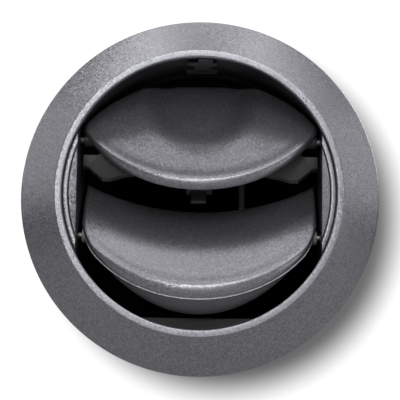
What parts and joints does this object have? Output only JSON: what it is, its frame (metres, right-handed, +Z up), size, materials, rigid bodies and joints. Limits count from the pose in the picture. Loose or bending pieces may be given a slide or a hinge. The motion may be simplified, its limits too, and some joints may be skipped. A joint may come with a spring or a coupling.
{
  "type": "round dashboard air vent",
  "caption": "Round dashboard air vent with a conical bezel, a turning rotor and coupled flaps that open and close, in a barrel with a duct spigot behind.",
  "frame": {"origin": "on the vent's axis, in the plane where the bezel seats on the dashboard", "axes": "+Y along the vent's axis, from the face into the dashboard; +X to the right seen from the face; +Z up"},
  "size_m": [0.11, 0.0738, 0.11],
  "materials": {
    "grey_paint": "metallic flake paint on moulded plastic",
    "black_plastic": "moulded black, fine grain",
    "dark_plastic": "moulded dark grey, smooth",
    "foam": "open-cell foam",
    "felt": "pressed felt",
    "silicone": "moulded, satin",
    "steel": "drawn and stamped, bright"
  },
  "bodies": {
    "housing": {"bezel_ring": "grey_paint", "retaining_collar": "black_plastic", "dash_seal": "foam", "barrel": "black_plastic", "brake_ring": "felt", "inlet_collar": "black_plastic", "duct_seal": "foam", "collar_screw_1": "steel", "collar_screw_2": "steel", "collar_screw_3": "steel", "collar_screw_4": "steel", "panel_clip_1": "steel", "panel_clip_2": "steel", "panel_clip_3": "steel", "panel_clip_4": "steel"},
    "rotor": {"rotor_drum": "black_plastic", "index_clip": "dark_plastic", "cheek_strip_left": "grey_paint", "cheek_strip_right": "grey_paint", "cheek_cap_left": "grey_paint", "cheek_cap_right": "grey_paint", "upper_bush_left": "silicone", "upper_bush_right": "silicone", "lower_bush_left": "silicone", "lower_bush_right": "silicone"},
    "upper_flap": {"upper_flap_shell": "grey_paint", "upper_flap_pan": "dark_plastic", "upper_pin_left": "steel", "upper_pin_right": "steel", "upper_crank_pin": "steel"},
    "lower_flap": {"lower_flap_shell": "grey_paint", "lower_flap_pan": "dark_plastic", "lower_pin_left": "steel", "lower_pin_right": "steel", "lower_crank_pin": "steel"},
    "link": {"coupling_link": "dark_plastic"}
  },
  "joints": [
    {"name": "rotor_spin", "type": "hinge", "parent": "housing", "child": "rotor", "pos_m": [0, 0, 0], "axis": [0, 1, 0], "continuous": true},
    {"name": "upper_flap_tilt", "type": "hinge", "parent": "rotor", "child": "upper_flap", "pos_m": [0, -0.001, 0.0174], "axis": [-1, 0, 0], "range_deg": [-31, 12]},
    {"name": "lower_flap_tilt", "type": "hinge", "parent": "rotor", "child": "lower_flap", "pos_m": [0, -0.001, -0.0124], "axis": [-1, 0, 0], "range_deg": [-31, 12]},
    {"name": "link_swing", "type": "hinge", "parent": "upper_flap", "child": "link", "pos_m": [0, 0.01357, 0.00864], "axis": [-1, 0, 0], "range_deg": [-12, 31]}
  ],
  "couplings": [
    {"joint": "lower_flap_tilt", "follows": "upper_flap_tilt", "ratio": 1},
    {"joint": "link_swing", "follows": "upper_flap_tilt", "ratio": -1}
  ]
}
